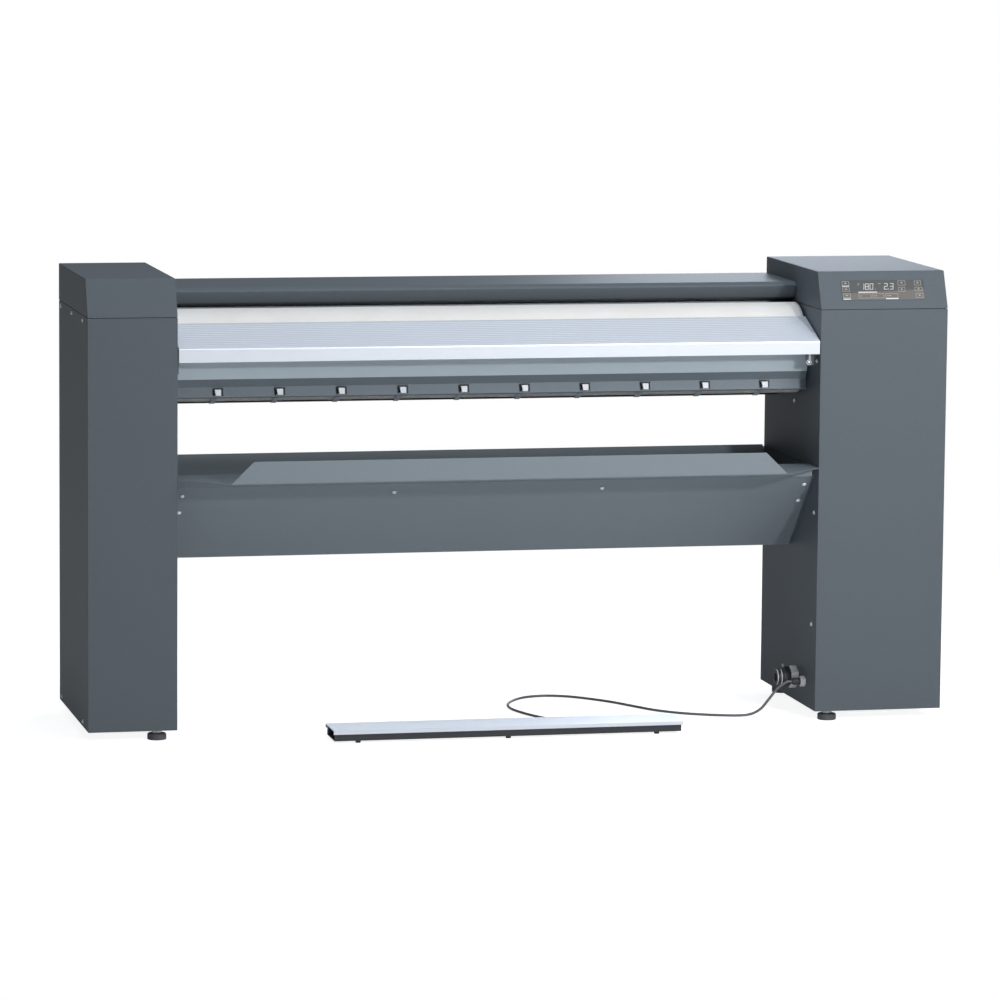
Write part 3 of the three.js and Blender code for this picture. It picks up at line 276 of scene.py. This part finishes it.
LOOKS = {
    "iron_grey_paint": powder_coat,
    "frame_steel": galvanised,
    "zinc_plated_steel": zinc_plate,
    "polished_steel": ground_steel,
    "anodised_aluminium": anodised,
    "cast_aluminium": cast_aluminium,
    "ironing_cloth": felt,
    "padding_felt": felt,
    "insulation_blanket": glass_fibre,
    "belt_rubber": belt_rubber,
    "foot_plastic": grey_nylon,
    "gland_plastic": dark_nylon,
    "control_overlay": overlay_film,
    "dark_plastic": dark_abs,
    "motor_paint": motor_enamel,
    "cord_sheath": cord_sheath,
}
LIGHTER = ("tray_shelf", "tray_front_wall", "tray_rear_wall")


def dress(thing, material):
    """Gives every face of a mesh object one material."""
    thing.data.materials.clear()
    thing.data.materials.append(material)


for part in frame["record"]["subparts"]:
    dress(frame["nodes"][part["node"]], LOOKS[part["material_slot"]])
for name in LIGHTER:
    dress(frame["nodes"][name], light_coat)
dress(frame["nodes"]["front_panel"], panel_coat)
dress(frame["nodes"]["stripper_rail"], rail_zinc_and_slot_shade)

# -------------------------------------------------------------------------- shape helpers


def mesh_piece(name, points, quads, material, body, slot, crease=35.0):
    """A mesh object at the origin from machine points and quads, smooth up to crease
    degrees, riding on a body."""
    mesh = bpy.data.meshes.new(name)
    mesh.from_pydata(to_frame(points).tolist(), [], np.asarray(quads).tolist())
    mesh.polygons.foreach_set("use_smooth", np.ones(len(mesh.polygons), dtype=bool))
    mesh.set_sharp_from_angle(angle=math.radians(crease))
    mesh.materials.append(material)
    thing = bpy.data.objects.new(name, mesh)
    bpy.context.scene.collection.objects.link(thing)
    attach(thing, body)
    return thing


def grid_quads(rows, columns):
    """Quads of a rows by columns grid of points whose last column joins its first."""
    r, c = np.meshgrid(np.arange(rows - 1), np.arange(columns), indexing="ij")
    r2, c2 = r + 1, (c + 1) % columns
    corners = [r * columns + c, r * columns + c2, r2 * columns + c2, r2 * columns + c]
    return np.stack(corners, axis=-1).reshape(-1, 4)


def gather(shapes):
    """Many (points, quads) shapes as one."""
    starts = np.cumsum([0] + [len(points) for points, _ in shapes[:-1]])
    quads = [quads + start for (_, quads), start in zip(shapes, starts)]
    return np.concatenate([points for points, _ in shapes]), np.concatenate(quads)


def turned(profile, centre, axis, sides=24, start=0.0):
    """A closed turned shape. Each profile pair is a radius and a height along the axis
    from the centre, and the ring at that height is radius times (cos a, sin a), with a
    counted from the start angle in degrees."""
    axis = np.asarray(axis, dtype=float) / np.linalg.norm(axis)
    across = np.cross(axis, [0.0, 0.0, 1.0] if abs(axis[2]) < 0.9 else [1.0, 0.0, 0.0])
    across /= np.linalg.norm(across)
    beyond = np.cross(axis, across)
    angle = math.radians(start) + np.arange(sides) * 2 * np.pi / sides
    ring = np.cos(angle)[:, None] * across + np.sin(angle)[:, None] * beyond
    radius, height = np.asarray(profile, dtype=float).T
    points = radius[:, None, None] * ring + height[:, None, None] * axis
    quads = grid_quads(len(profile), sides)
    return points.reshape(-1, 3) + np.asarray(centre, dtype=float), quads


# Frame on the right cap's leaning front: u across, v up the slope, w out of it.
SLOPE_LENGTH = math.hypot(*CAP_SLANT)
SLOPE_UP = np.array([0.0, CAP_SLANT[0], CAP_SLANT[1]]) / SLOPE_LENGTH
SLOPE_OUT = np.array([0.0, -CAP_SLANT[1], CAP_SLANT[0]]) / SLOPE_LENGTH


def on_slope(u, v, w):
    """Machine point at u across, v up and w out of the right cap's leaning front."""
    u, v, w = np.broadcast_arrays(*(np.asarray(x, dtype=float)[..., None] for x in (u, v, w)))
    start = np.array([RIGHT_INNER, 0.0, CAP_BOTTOM])
    return start + u * np.array([1.0, 0.0, 0.0]) + v * SLOPE_UP + w * SLOPE_OUT


def printed(outline, low=0.16, high=0.26):
    """A flat mark on the glass: a four-cornered u, v outline from w low to w high."""
    u, v = np.asarray(outline, dtype=float).T
    points = np.concatenate([on_slope(u, v, low), on_slope(u, v, high)])
    sides = [[i, (i + 1) % 4, (i + 1) % 4 + 4, i + 4] for i in range(4)]
    return points, np.array([[3, 2, 1, 0], [4, 5, 6, 7]] + sides)


def bar_mark(u0, u1, v0, v1):
    """An upright oblong mark."""
    return printed([(u0, v0), (u1, v0), (u1, v1), (u0, v1)])


def ring_mark(u0, u1, v0, v1, line=0.9):
    """The outline of a button: four oblong marks round it."""
    return [
        bar_mark(u0, u1, v0, v0 + line), bar_mark(u0, u1, v1 - line, v1),
        bar_mark(u0, u0 + line, v0 + line, v1 - line),
        bar_mark(u1 - line, u1, v0 + line, v1 - line),
    ]


# The lit segments of each digit: a on top, then clockwise to f, and g across the middle.
SEGMENTS = {"0": "abcdef", "1": "bc", "2": "abged", "3": "abgcd", "8": "abcdefg"}


def digit_marks(digit, u, v, width=8.4, height=15.0, line=1.4, lean=0.12, gap=0.2):
    """Seven-segment digit: each lit segment is an oblong, leaning to the right, with the
    gap taken off each of its sides."""
    half = height / 2
    places = {
        "a": (0, width, height - line, height), "d": (0, width, 0, line),
        "g": (0, width, half - line / 2, half + line / 2),
        "f": (0, line, half, height), "e": (0, line, 0, half),
        "b": (width - line, width, half, height), "c": (width - line, width, 0, half),
    }
    marks = []
    for segment in SEGMENTS[digit]:
        a, b, c, d = places[segment]
        a, b, c, d = a + gap, b - gap, c + gap, d - gap
        corners = [(a, c), (b, c), (b, d), (a, d)]
        marks.append(printed([(u + x + y * lean, v + y) for x, y in corners]))
    return marks


# ------------------------------------------------------------------------------- the cord

CORD_RADIUS = 3.0
# Height of the cord's middle where it lies on the floor.
CORD_LYING = FLOOR_Z + CORD_RADIUS + 0.8
# From the switch gland down to the floor, round and up into the foot bar's gland.
CORD_ROUTE = [
    (1648.7, SWITCH_GLAND_Y, GLAND_Z), (1638.7, SWITCH_GLAND_Y, 56.1),
    (1629.7, SWITCH_GLAND_Y, 51.5), (1617.7, 89.5, 43),
    (1608.7, 90, 33), (1594.7, 92, 14.5), (1578.7, 94, -5), (1562.7, 96, -15.5),
    (1546, 98, -20), (1526, 100, CORD_LYING), (1484, 110, CORD_LYING),
    (1442, 129, CORD_LYING), (1397, 158, CORD_LYING), (1354, 203, CORD_LYING),
    (1321, 259, CORD_LYING), (1283, 327, CORD_LYING), (1241, 382, CORD_LYING),
    (1196, 424, CORD_LYING), (1148, 442, CORD_LYING), (1099, 431, CORD_LYING),
    (1060, 393, CORD_LYING), (1034, 338, CORD_LYING), (1028, 282, CORD_LYING),
    (1039, 228, CORD_LYING), (1058, 176, CORD_LYING), (1083, 128, CORD_LYING),
    (1104, 88, CORD_LYING), (1115, 58, CORD_LYING + 1.5), (1119, 36, -15.5),
    (1120, 24, -12.3), (1120, 14.3, -12),
]


def smooth_route(route, per_span=8):
    """Centripetal Catmull-Rom curve through the route, as rows of points. The ends are
    continued by mirroring, and each span is worked out by the Barry-Goldman pyramid."""
    p = np.asarray(route, dtype=float)
    p = np.concatenate([[2 * p[0] - p[1]], p, [2 * p[-1] - p[-2]]])
    chords = np.linalg.norm(np.diff(p, axis=0), axis=1)
    knots = np.concatenate([[0.0], np.cumsum(np.sqrt(chords))])
    rows = []
    for i in range(1, len(p) - 2):
        t0, t1, t2, t3 = knots[i - 1:i + 3]
        t = np.linspace(t1, t2, per_span, endpoint=False)[:, None]
        a1 = (t1 - t) / (t1 - t0) * p[i - 1] + (t - t0) / (t1 - t0) * p[i]
        a2 = (t2 - t) / (t2 - t1) * p[i] + (t - t1) / (t2 - t1) * p[i + 1]
        a3 = (t3 - t) / (t3 - t2) * p[i + 1] + (t - t2) / (t3 - t2) * p[i + 2]
        b1 = (t2 - t) / (t2 - t0) * a1 + (t - t0) / (t2 - t0) * a2
        b2 = (t3 - t) / (t3 - t1) * a2 + (t - t1) / (t3 - t1) * a3
        rows.append((t2 - t) / (t2 - t1) * b1 + (t - t1) / (t2 - t1) * b2)
    return np.concatenate(rows + [p[-2:-1]])


def lay_cord():
    """A round cord as a curve through the smoothed route."""
    line = to_frame(smooth_route(CORD_ROUTE))
    data = bpy.data.curves.new("switch_cord", "CURVE")
    data.dimensions = "3D"
    data.bevel_depth = CORD_RADIUS / 1000.0
    data.bevel_resolution = 3
    data.use_fill_caps = True
    spline = data.splines.new("POLY")
    spline.points.add(len(line) - 1)
    spline.points.foreach_set("co", np.c_[line, np.ones(len(line))].ravel())
    data.materials.append(cord_sheath)
    cord = bpy.data.objects.new("switch_cord", data)
    bpy.context.scene.collection.objects.link(cord)
    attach(cord, "frame")
    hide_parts("foot_switch_cord")


lay_cord()

# ------------------------------------------------------------------------ the roller cloth


WEAVE_REPEAT = 6.0


def woven_cloth():
    """Polyester ironing cloth: a basket weave drawn as crossed waves, coarser than the real
    1 mm threads so that it shows, and faint soiling along the roller."""
    material, tree = new_material("woven_polyester")
    place = add(tree, "ShaderNodeUVMap", {"uv_map": "cloth"}).outputs["UV"]
    apart = add(tree, "ShaderNodeSeparateXYZ", links={"Vector": place})
    waves = []
    for axis in ("X", "Y"):
        turns = add(
            tree, "ShaderNodeMath", {"operation": "MULTIPLY", 1: 2 * math.pi / WEAVE_REPEAT},
            {0: apart.outputs[axis]},
        ).outputs[0]
        waves.append(add(tree, "ShaderNodeMath", {"operation": "SINE"}, {0: turns}).outputs[0])
    weave = add(
        tree, "ShaderNodeMath", {"operation": "MULTIPLY"}, {0: waves[0], 1: waves[1]}
    ).outputs[0]
    bump = add(
        tree, "ShaderNodeBump", {"Strength": 0.5, "Distance": 0.0004}, {"Height": weave}
    ).outputs["Normal"]
    stain = add(
        tree, "ShaderNodeTexNoise", {"Scale": 0.012, "Detail": 3.0}, {"Vector": place}
    ).outputs["Fac"]
    colour = add(
        tree, "ShaderNodeMix",
        {"data_type": "RGBA", 6: linear("#ebe7e0"), 7: linear("#f7f5f1")}, {0: stain},
    ).outputs[2]
    surface = add(
        tree, "ShaderNodeBsdfPrincipled",
        {"Roughness": 0.9, "Sheen Weight": 0.15, "Sheen Roughness": 0.5},
        {"Base Color": colour, "Normal": bump},
    )
    add(tree, "ShaderNodeOutputMaterial", links={"Surface": surface.outputs["BSDF"]})
    return material


def wrap_cloth():
    """Cloth round the roller: a cylinder of the outer radius whose surface rises and falls
    by 0.25 mm in slow waves. Its thickness goes inwards."""
    steps, turns = 180, 128
    x = np.linspace(*ROLLER_ENDS, steps)[:, None]
    angle = (np.arange(turns) * 2 * np.pi / turns)[None, :]
    wave = 0.15 * np.sin(x / 61.0 + 2 * angle) + 0.1 * np.sin(x / 23.0 - 5 * angle)
    radius = ROLLER_RADIUS - 0.25 + wave
    points = np.stack(np.broadcast_arrays(
        x, ROLLER_Y + radius * np.cos(angle), ROLLER_Z + radius * np.sin(angle)
    ), axis=-1).reshape(-1, 3)
    quads = grid_quads(steps, turns)
    cloth = mesh_piece(
        "ironing_cloth", points, quads, woven_cloth(), "roller", "ironing_cloth", crease=80.0
    )
    layer = cloth.data.uv_layers.new(name="cloth")
    corner = np.empty(len(cloth.data.loops), dtype=int)
    cloth.data.loops.foreach_get("vertex_index", corner)
    row, column = corner // turns, corner % turns
    column = column.reshape(-1, 4)
    column = np.where((column == 0) & (column.max(axis=1, keepdims=True) > 1), turns, column)
    along = np.linspace(*ROLLER_ENDS, steps)[row]
    around = column.ravel() * 2 * np.pi * ROLLER_RADIUS / turns
    layer.data.foreach_set("uv", np.stack([along, around], axis=1).ravel())
    wall = cloth.modifiers.new("thickness", "SOLIDIFY")
    wall.thickness = 0.0018
    wall.offset = -1.0
    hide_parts("roller_cloth")


wrap_cloth()

# ------------------------------------------------------------------- screws and fittings

# Radii and heights over the sheet, from the bottom of the recess to the head's underside.
SCREW_HEAD = [
    (0.0, 1.6), (1.5, 1.6), (1.6, 3.0), (2.6, 2.8), (3.7, 2.1), (4.6, 1.1), (5.0, 0.0),
    (5.0, -0.2), (0.0, -0.2),
]
# Square off the tray's front wall, which leans out towards its top.
OFF_TRAY_WALL = (0.0, -64.7, -70.0)


def fit_screws():
    """Pan-head screws with a round recess, standing on the sheet that they hold."""
    outer = ((429.5, 915), (252.3, 915), (78.5, 915), (425.9, 12), (83.2, 12))
    places = [((0, y, z), (-1, 0, 0)) for y, z in outer]
    places += [((TOTAL_WIDTH, y, z), (1, 0, 0)) for y, z in outer]
    inner = ((30.7, 806), (211, 695.5), (32.8, 457), (39.5, 197.5), (271.1, 65.3))
    places += [((RIGHT_INNER, y, z), (-1, 0, 0)) for y, z in inner]
    places += [((LEFT_INNER, y, z), (1, 0, 0)) for y, z in inner]
    for y, z, xs in ((53.2, 520.0, (219, 702, 1184, 1661)), (100, 476.8, (219, 1661))):
        places += [((x, y, z), OFF_TRAY_WALL) for x in xs]
    places += [((x, BACK, z), (0, 1, 0)) for x in (22, 178, 1702, 1958) for z in (30, 455, 885)]
    places += [((x, BACK, 956), (0, 1, 0)) for x in (240, 710, 1170, 1640)]
    points, quads = gather([turned(SCREW_HEAD, at, way, 24) for at, way in places])
    mesh_piece("screws", points, quads, screw_zinc, "frame", "zinc_plated_steel")


def oblong(low, high):
    """A straight block between two corners."""
    low, high = np.asarray(low, dtype=float), np.asarray(high, dtype=float)
    pick = np.array([[i & 1, i >> 1 & 1, i >> 2] for i in range(8)])
    points = np.where(pick == 1, high, low)
    quads = [[0, 2, 3, 1], [4, 5, 7, 6], [0, 1, 5, 4], [2, 6, 7, 3], [0, 4, 6, 2], [1, 3, 7, 5]]
    return points, np.array(quads)


def fit_strap():
    """Bright steel strap and bolt under the right end of the feed board's lip."""
    strap = oblong((1661.0, 33.2, 801.0), (1666.0, 34.9, 864.5))
    bolt = [
        (0.0, 4.2), (2.2, 4.0), (3.4, 3.0), (3.9, 1.4), (3.9, 0.8), (6.6, 0.8), (6.6, -0.2),
        (0.0, -0.2),
    ]
    shapes = [strap, turned(bolt, (1661.5, 33.0, 803.0), (0, -1, 0), 24)]
    mesh_piece("board_strap", *gather(shapes), ground_steel, "frame", "zinc_plated_steel")


fit_screws()
fit_strap()

# ---------------------------------------------------------------------- the control marks


def print_controls():
    """Readings, buttons and plain symbols on the control glass, and a lighter band on the glass
    that is a painted reflection.
    """
    lit = []
    for digit, u in (("1", 97.0), ("8", 107.5), ("0", 118.5), ("2", 152.5), ("3", 166.5)):
        lit += digit_marks(digit, u, 46.5)
    lit += [bar_mark(162.4, 164.0, 46.8, 48.4), bar_mark(91, 136, 39.6, 41.6)]
    lit += [bar_mark(54, 71, 54.6, 56), bar_mark(54, 72, 23.4, 25.4)]
    lit += [bar_mark(155, 185, 23.4, 25.4)]
    dim = [bar_mark(91.5, 92.6, 56, 62), bar_mark(93.4, 96, 60.8, 62)]
    dim += [bar_mark(140, 146, 60.3, 61.6), bar_mark(131.4, 133.2, 47, 48.6)]
    for u0, u1, dots in ((91, 121, 1), (124, 151.5, 2), (155, 185, 3)):
        dim += ring_mark(u0, u1, 26, 37)
        dim += [bar_mark(u0 + 4 + 3.6 * i, u0 + 6.4 + 3.6 * i, 30.4, 32.6) for i in range(dots)]
    for u0, u1, v0, v1 in (
        (187, 205, 56, 67.5), (187, 203, 41, 52), (54, 71, 57, 67), (54, 71, 43, 52),
        (54, 72, 27.5, 38), (226, 242, 56, 67), (226, 244, 42, 51.5), (227, 245, 26, 37),
    ):
        dim += ring_mark(u0, u1, v0, v1)
        middle_u, middle_v = (u0 + u1) / 2, (v0 + v1) / 2
        dim.append(bar_mark(middle_u - 3, middle_u + 3, middle_v - 0.8, middle_v + 0.8))
        dim.append(bar_mark(middle_u - 0.8, middle_u + 0.8, middle_v + 0.8, middle_v + 3))
    mesh_piece("lit_marks", *gather(lit), pale_ink, "frame", "control_overlay")
    mesh_piece("printed_marks", *gather(dim), dim_ink, "frame", "control_overlay")
    # The painted reflection: a lighter band with a slanted upper edge.
    band = printed([(54, 22), (247.5, 22), (247.5, 47), (54, 37)], 0.15, 0.21)
    mesh_piece("control_painted_reflection", *band, overlay_painted_reflection, "frame", "control_overlay")


print_controls()

# --------------------------------------------------------------------- glands and feet


def fit_glands():
    """Pale lock nuts round the glands' roots, the mains gland's dark cap nut, and thin
    rings at its mouth."""
    mains = (RIGHT_INNER, MAINS_GLAND_Y, GLAND_Z)
    small = (RIGHT_INNER, SWITCH_GLAND_Y, GLAND_Z)
    out = (-1, 0, 0)
    nut = [
        (21.2, 0.4), (25.6, 0.4), (26.2, 1.2), (26.2, 16.4), (25.4, 17.4), (21.2, 17.4),
        (21.2, 0.4),
    ]
    little = [(9.0, 0.4), (12.6, 0.4), (12.6, 10.9), (11.6, 11.4), (9.0, 11.4), (9.0, 0.4)]
    pale = [turned(nut, mains, out, 6, 30.0), turned(little, small, out, 6, 30.0)]
    for start in (38.0, 47.6):
        end = start + 1.6
        ring = [(17.4, start), (18.2, start), (18.2, end), (17.4, end), (17.4, start)]
        pale.append(turned(ring, mains, out, 40))
    mesh_piece("gland_nuts", *gather(pale), pale_nylon, "frame", "gland_plastic")
    cap = [
        (20.9, 17.8), (23.6, 17.8), (24.2, 18.6), (24.2, 30.0), (22.9, 31.4), (20.9, 31.4),
        (20.9, 17.8),
    ]
    shape = turned(cap, mains, out, 6, 30.0)
    mesh_piece("gland_cap_nut", *shape, dark_nylon, "frame", "gland_plastic")


def fit_foot_nuts():
    """Zinc-plated nuts over the levelling feet, round their studs."""
    nut = [
        (6.0, -9.6), (11.4, -9.6), (11.9, -8.9), (11.9, -1.2), (11.4, -0.5), (6.0, -0.5),
    ]
    for side, x in FEET_X.items():
        for end, y in FEET_Y.items():
            shape = turned(nut, (x, y, 0), (0, 0, 1), 6)
            mesh_piece(
                f"{side}_{end}_nut", *shape, screw_zinc, f"{side}_{end}_foot", "zinc_plated_steel"
            )


fit_glands()
fit_foot_nuts()

# ---------------------------------------------------------------------- floor and lights

# Brightness of the white surround in reflections, and of the room's light all round.
WHITE_IN_REFLECTIONS = 0.25
AMBIENT = 0.06
# The floor's glow, and how far from the middle in metres it fades into the background.
FLOOR_GLOW = 0.86
FLOOR_FADE = (1.2, 3.2)
# Name, place, aim, size in metres, power in watts and colour. The low lamp has no reflection,
# because it would hide the colour of the feed board's lip.
LAMPS = (
    ("key", (1.5, -4.4, 1.9), (0.0, 0.0, 0.55), 0.22, 78.0, "#ffffff"),
    ("near", (1.7, -2.2, 1.9), (0.75, -0.2, 0.9), 0.9, 15.0, "#ffffff"),
    ("low", (-0.2, -3.2, 0.25), (0.0, 0.0, 0.65), 0.6, 16.0, "#ffffff"),
    ("top", (0.0, -0.6, 4.0), (0.0, 0.0, 0.9), 3.0, 72.0, "#eaf3ff"),
    ("back", (1.75, 3.9, 1.6), (0.85, 0.0, 1.03), 1.2, 36.0, "#eaf3ff"),
)


def seen_white(tree):
    """How white the backdrop is: 1 to the camera and through glass, less in reflections."""
    rays = add(tree, "ShaderNodeLightPath")
    direct = add(
        tree, "ShaderNodeMath", {"operation": "MAXIMUM"},
        {0: rays.outputs["Is Camera Ray"], 1: rays.outputs["Is Transmission Ray"]},
    ).outputs[0]
    mirrored = add(
        tree, "ShaderNodeMath", {"operation": "MULTIPLY", 1: WHITE_IN_REFLECTIONS},
        {0: rays.outputs["Is Glossy Ray"]},
    ).outputs[0]
    return add(
        tree, "ShaderNodeMath", {"operation": "MAXIMUM"}, {0: direct, 1: mirrored}
    ).outputs[0]


def light_room():
    """White surround for the camera and for reflections, with a faint light all round."""
    world = bpy.data.worlds.new("studio")
    bpy.context.scene.world = world
    world.use_nodes = True
    tree = world.node_tree
    tree.nodes.clear()
    level = add(
        tree, "ShaderNodeMath", {"operation": "MAXIMUM", 1: AMBIENT}, {0: seen_white(tree)}
    ).outputs[0]
    light = add(tree, "ShaderNodeBackground", {"Color": (1, 1, 1, 1)}, {"Strength": level})
    add(tree, "ShaderNodeOutputWorld", links={"Surface": light.outputs["Background"]})


def lay_floor():
    """Pale matt floor with a white glow, which turns into the plain white surround."""
    floor_look, tree = new_material("pale_floor")
    white = seen_white(tree)
    matt = add(tree, "ShaderNodeBsdfDiffuse", {"Color": (0.8, 0.8, 0.8, 1)})
    strength = add(
        tree, "ShaderNodeMath", {"operation": "MULTIPLY", 1: FLOOR_GLOW}, {0: white}
    ).outputs[0]
    glow = add(
        tree, "ShaderNodeEmission", {"Color": (1, 1, 1, 1)}, {"Strength": strength}
    )
    near = add(tree, "ShaderNodeAddShader", links={0: matt.outputs[0], 1: glow.outputs[0]})
    place = add(tree, "ShaderNodeTexCoord").outputs["Object"]
    away = add(
        tree, "ShaderNodeVectorMath", {"operation": "LENGTH"}, {0: place}
    ).outputs["Value"]
    start, end = FLOOR_FADE
    fade = add(
        tree, "ShaderNodeMapRange",
        {"interpolation_type": "SMOOTHSTEP", "From Min": start, "From Max": end},
        {"Value": away},
    ).outputs["Result"]
    shown = add(
        tree, "ShaderNodeMath", {"operation": "MULTIPLY"}, {0: fade, 1: white}
    ).outputs[0]
    plain = add(tree, "ShaderNodeEmission", {"Color": (1, 1, 1, 1), "Strength": 1.0})
    both = add(
        tree, "ShaderNodeMixShader", links={0: shown, 1: near.outputs[0], 2: plain.outputs[0]}
    )
    add(tree, "ShaderNodeOutputMaterial", links={"Surface": both.outputs[0]})
    mesh = bpy.data.meshes.new("floor")
    corners = [(-25, -25, 0), (25, -25, 0), (25, 25, 0), (-25, 25, 0)]
    mesh.from_pydata(corners, [], [(0, 1, 2, 3)])
    mesh.materials.append(floor_look)
    floor = bpy.data.objects.new("floor", mesh)
    bpy.context.scene.collection.objects.link(floor)


def hang_lamps():
    """Square soft lamps, each turned towards its aim."""
    for name, place, aim, size, power, tint in LAMPS:
        data = bpy.data.lights.new(name, "AREA")
        data.color = linear(tint)[:3]
        data.size = size
        data.energy = power
        lamp = bpy.data.objects.new(name, data)
        lamp.visible_glossy = name != "low"
        bpy.context.scene.collection.objects.link(lamp)
        lamp.location = place
        look = Vector(aim) - Vector(place)
        lamp.rotation_euler = look.to_track_quat("-Z", "Y").to_euler()


light_room()
lay_floor()
hang_lamps()

# --------------------------------------------------------------------------------- finish

bpy.context.scene.view_settings.view_transform = "Standard"
bpy.context.view_layer.update()
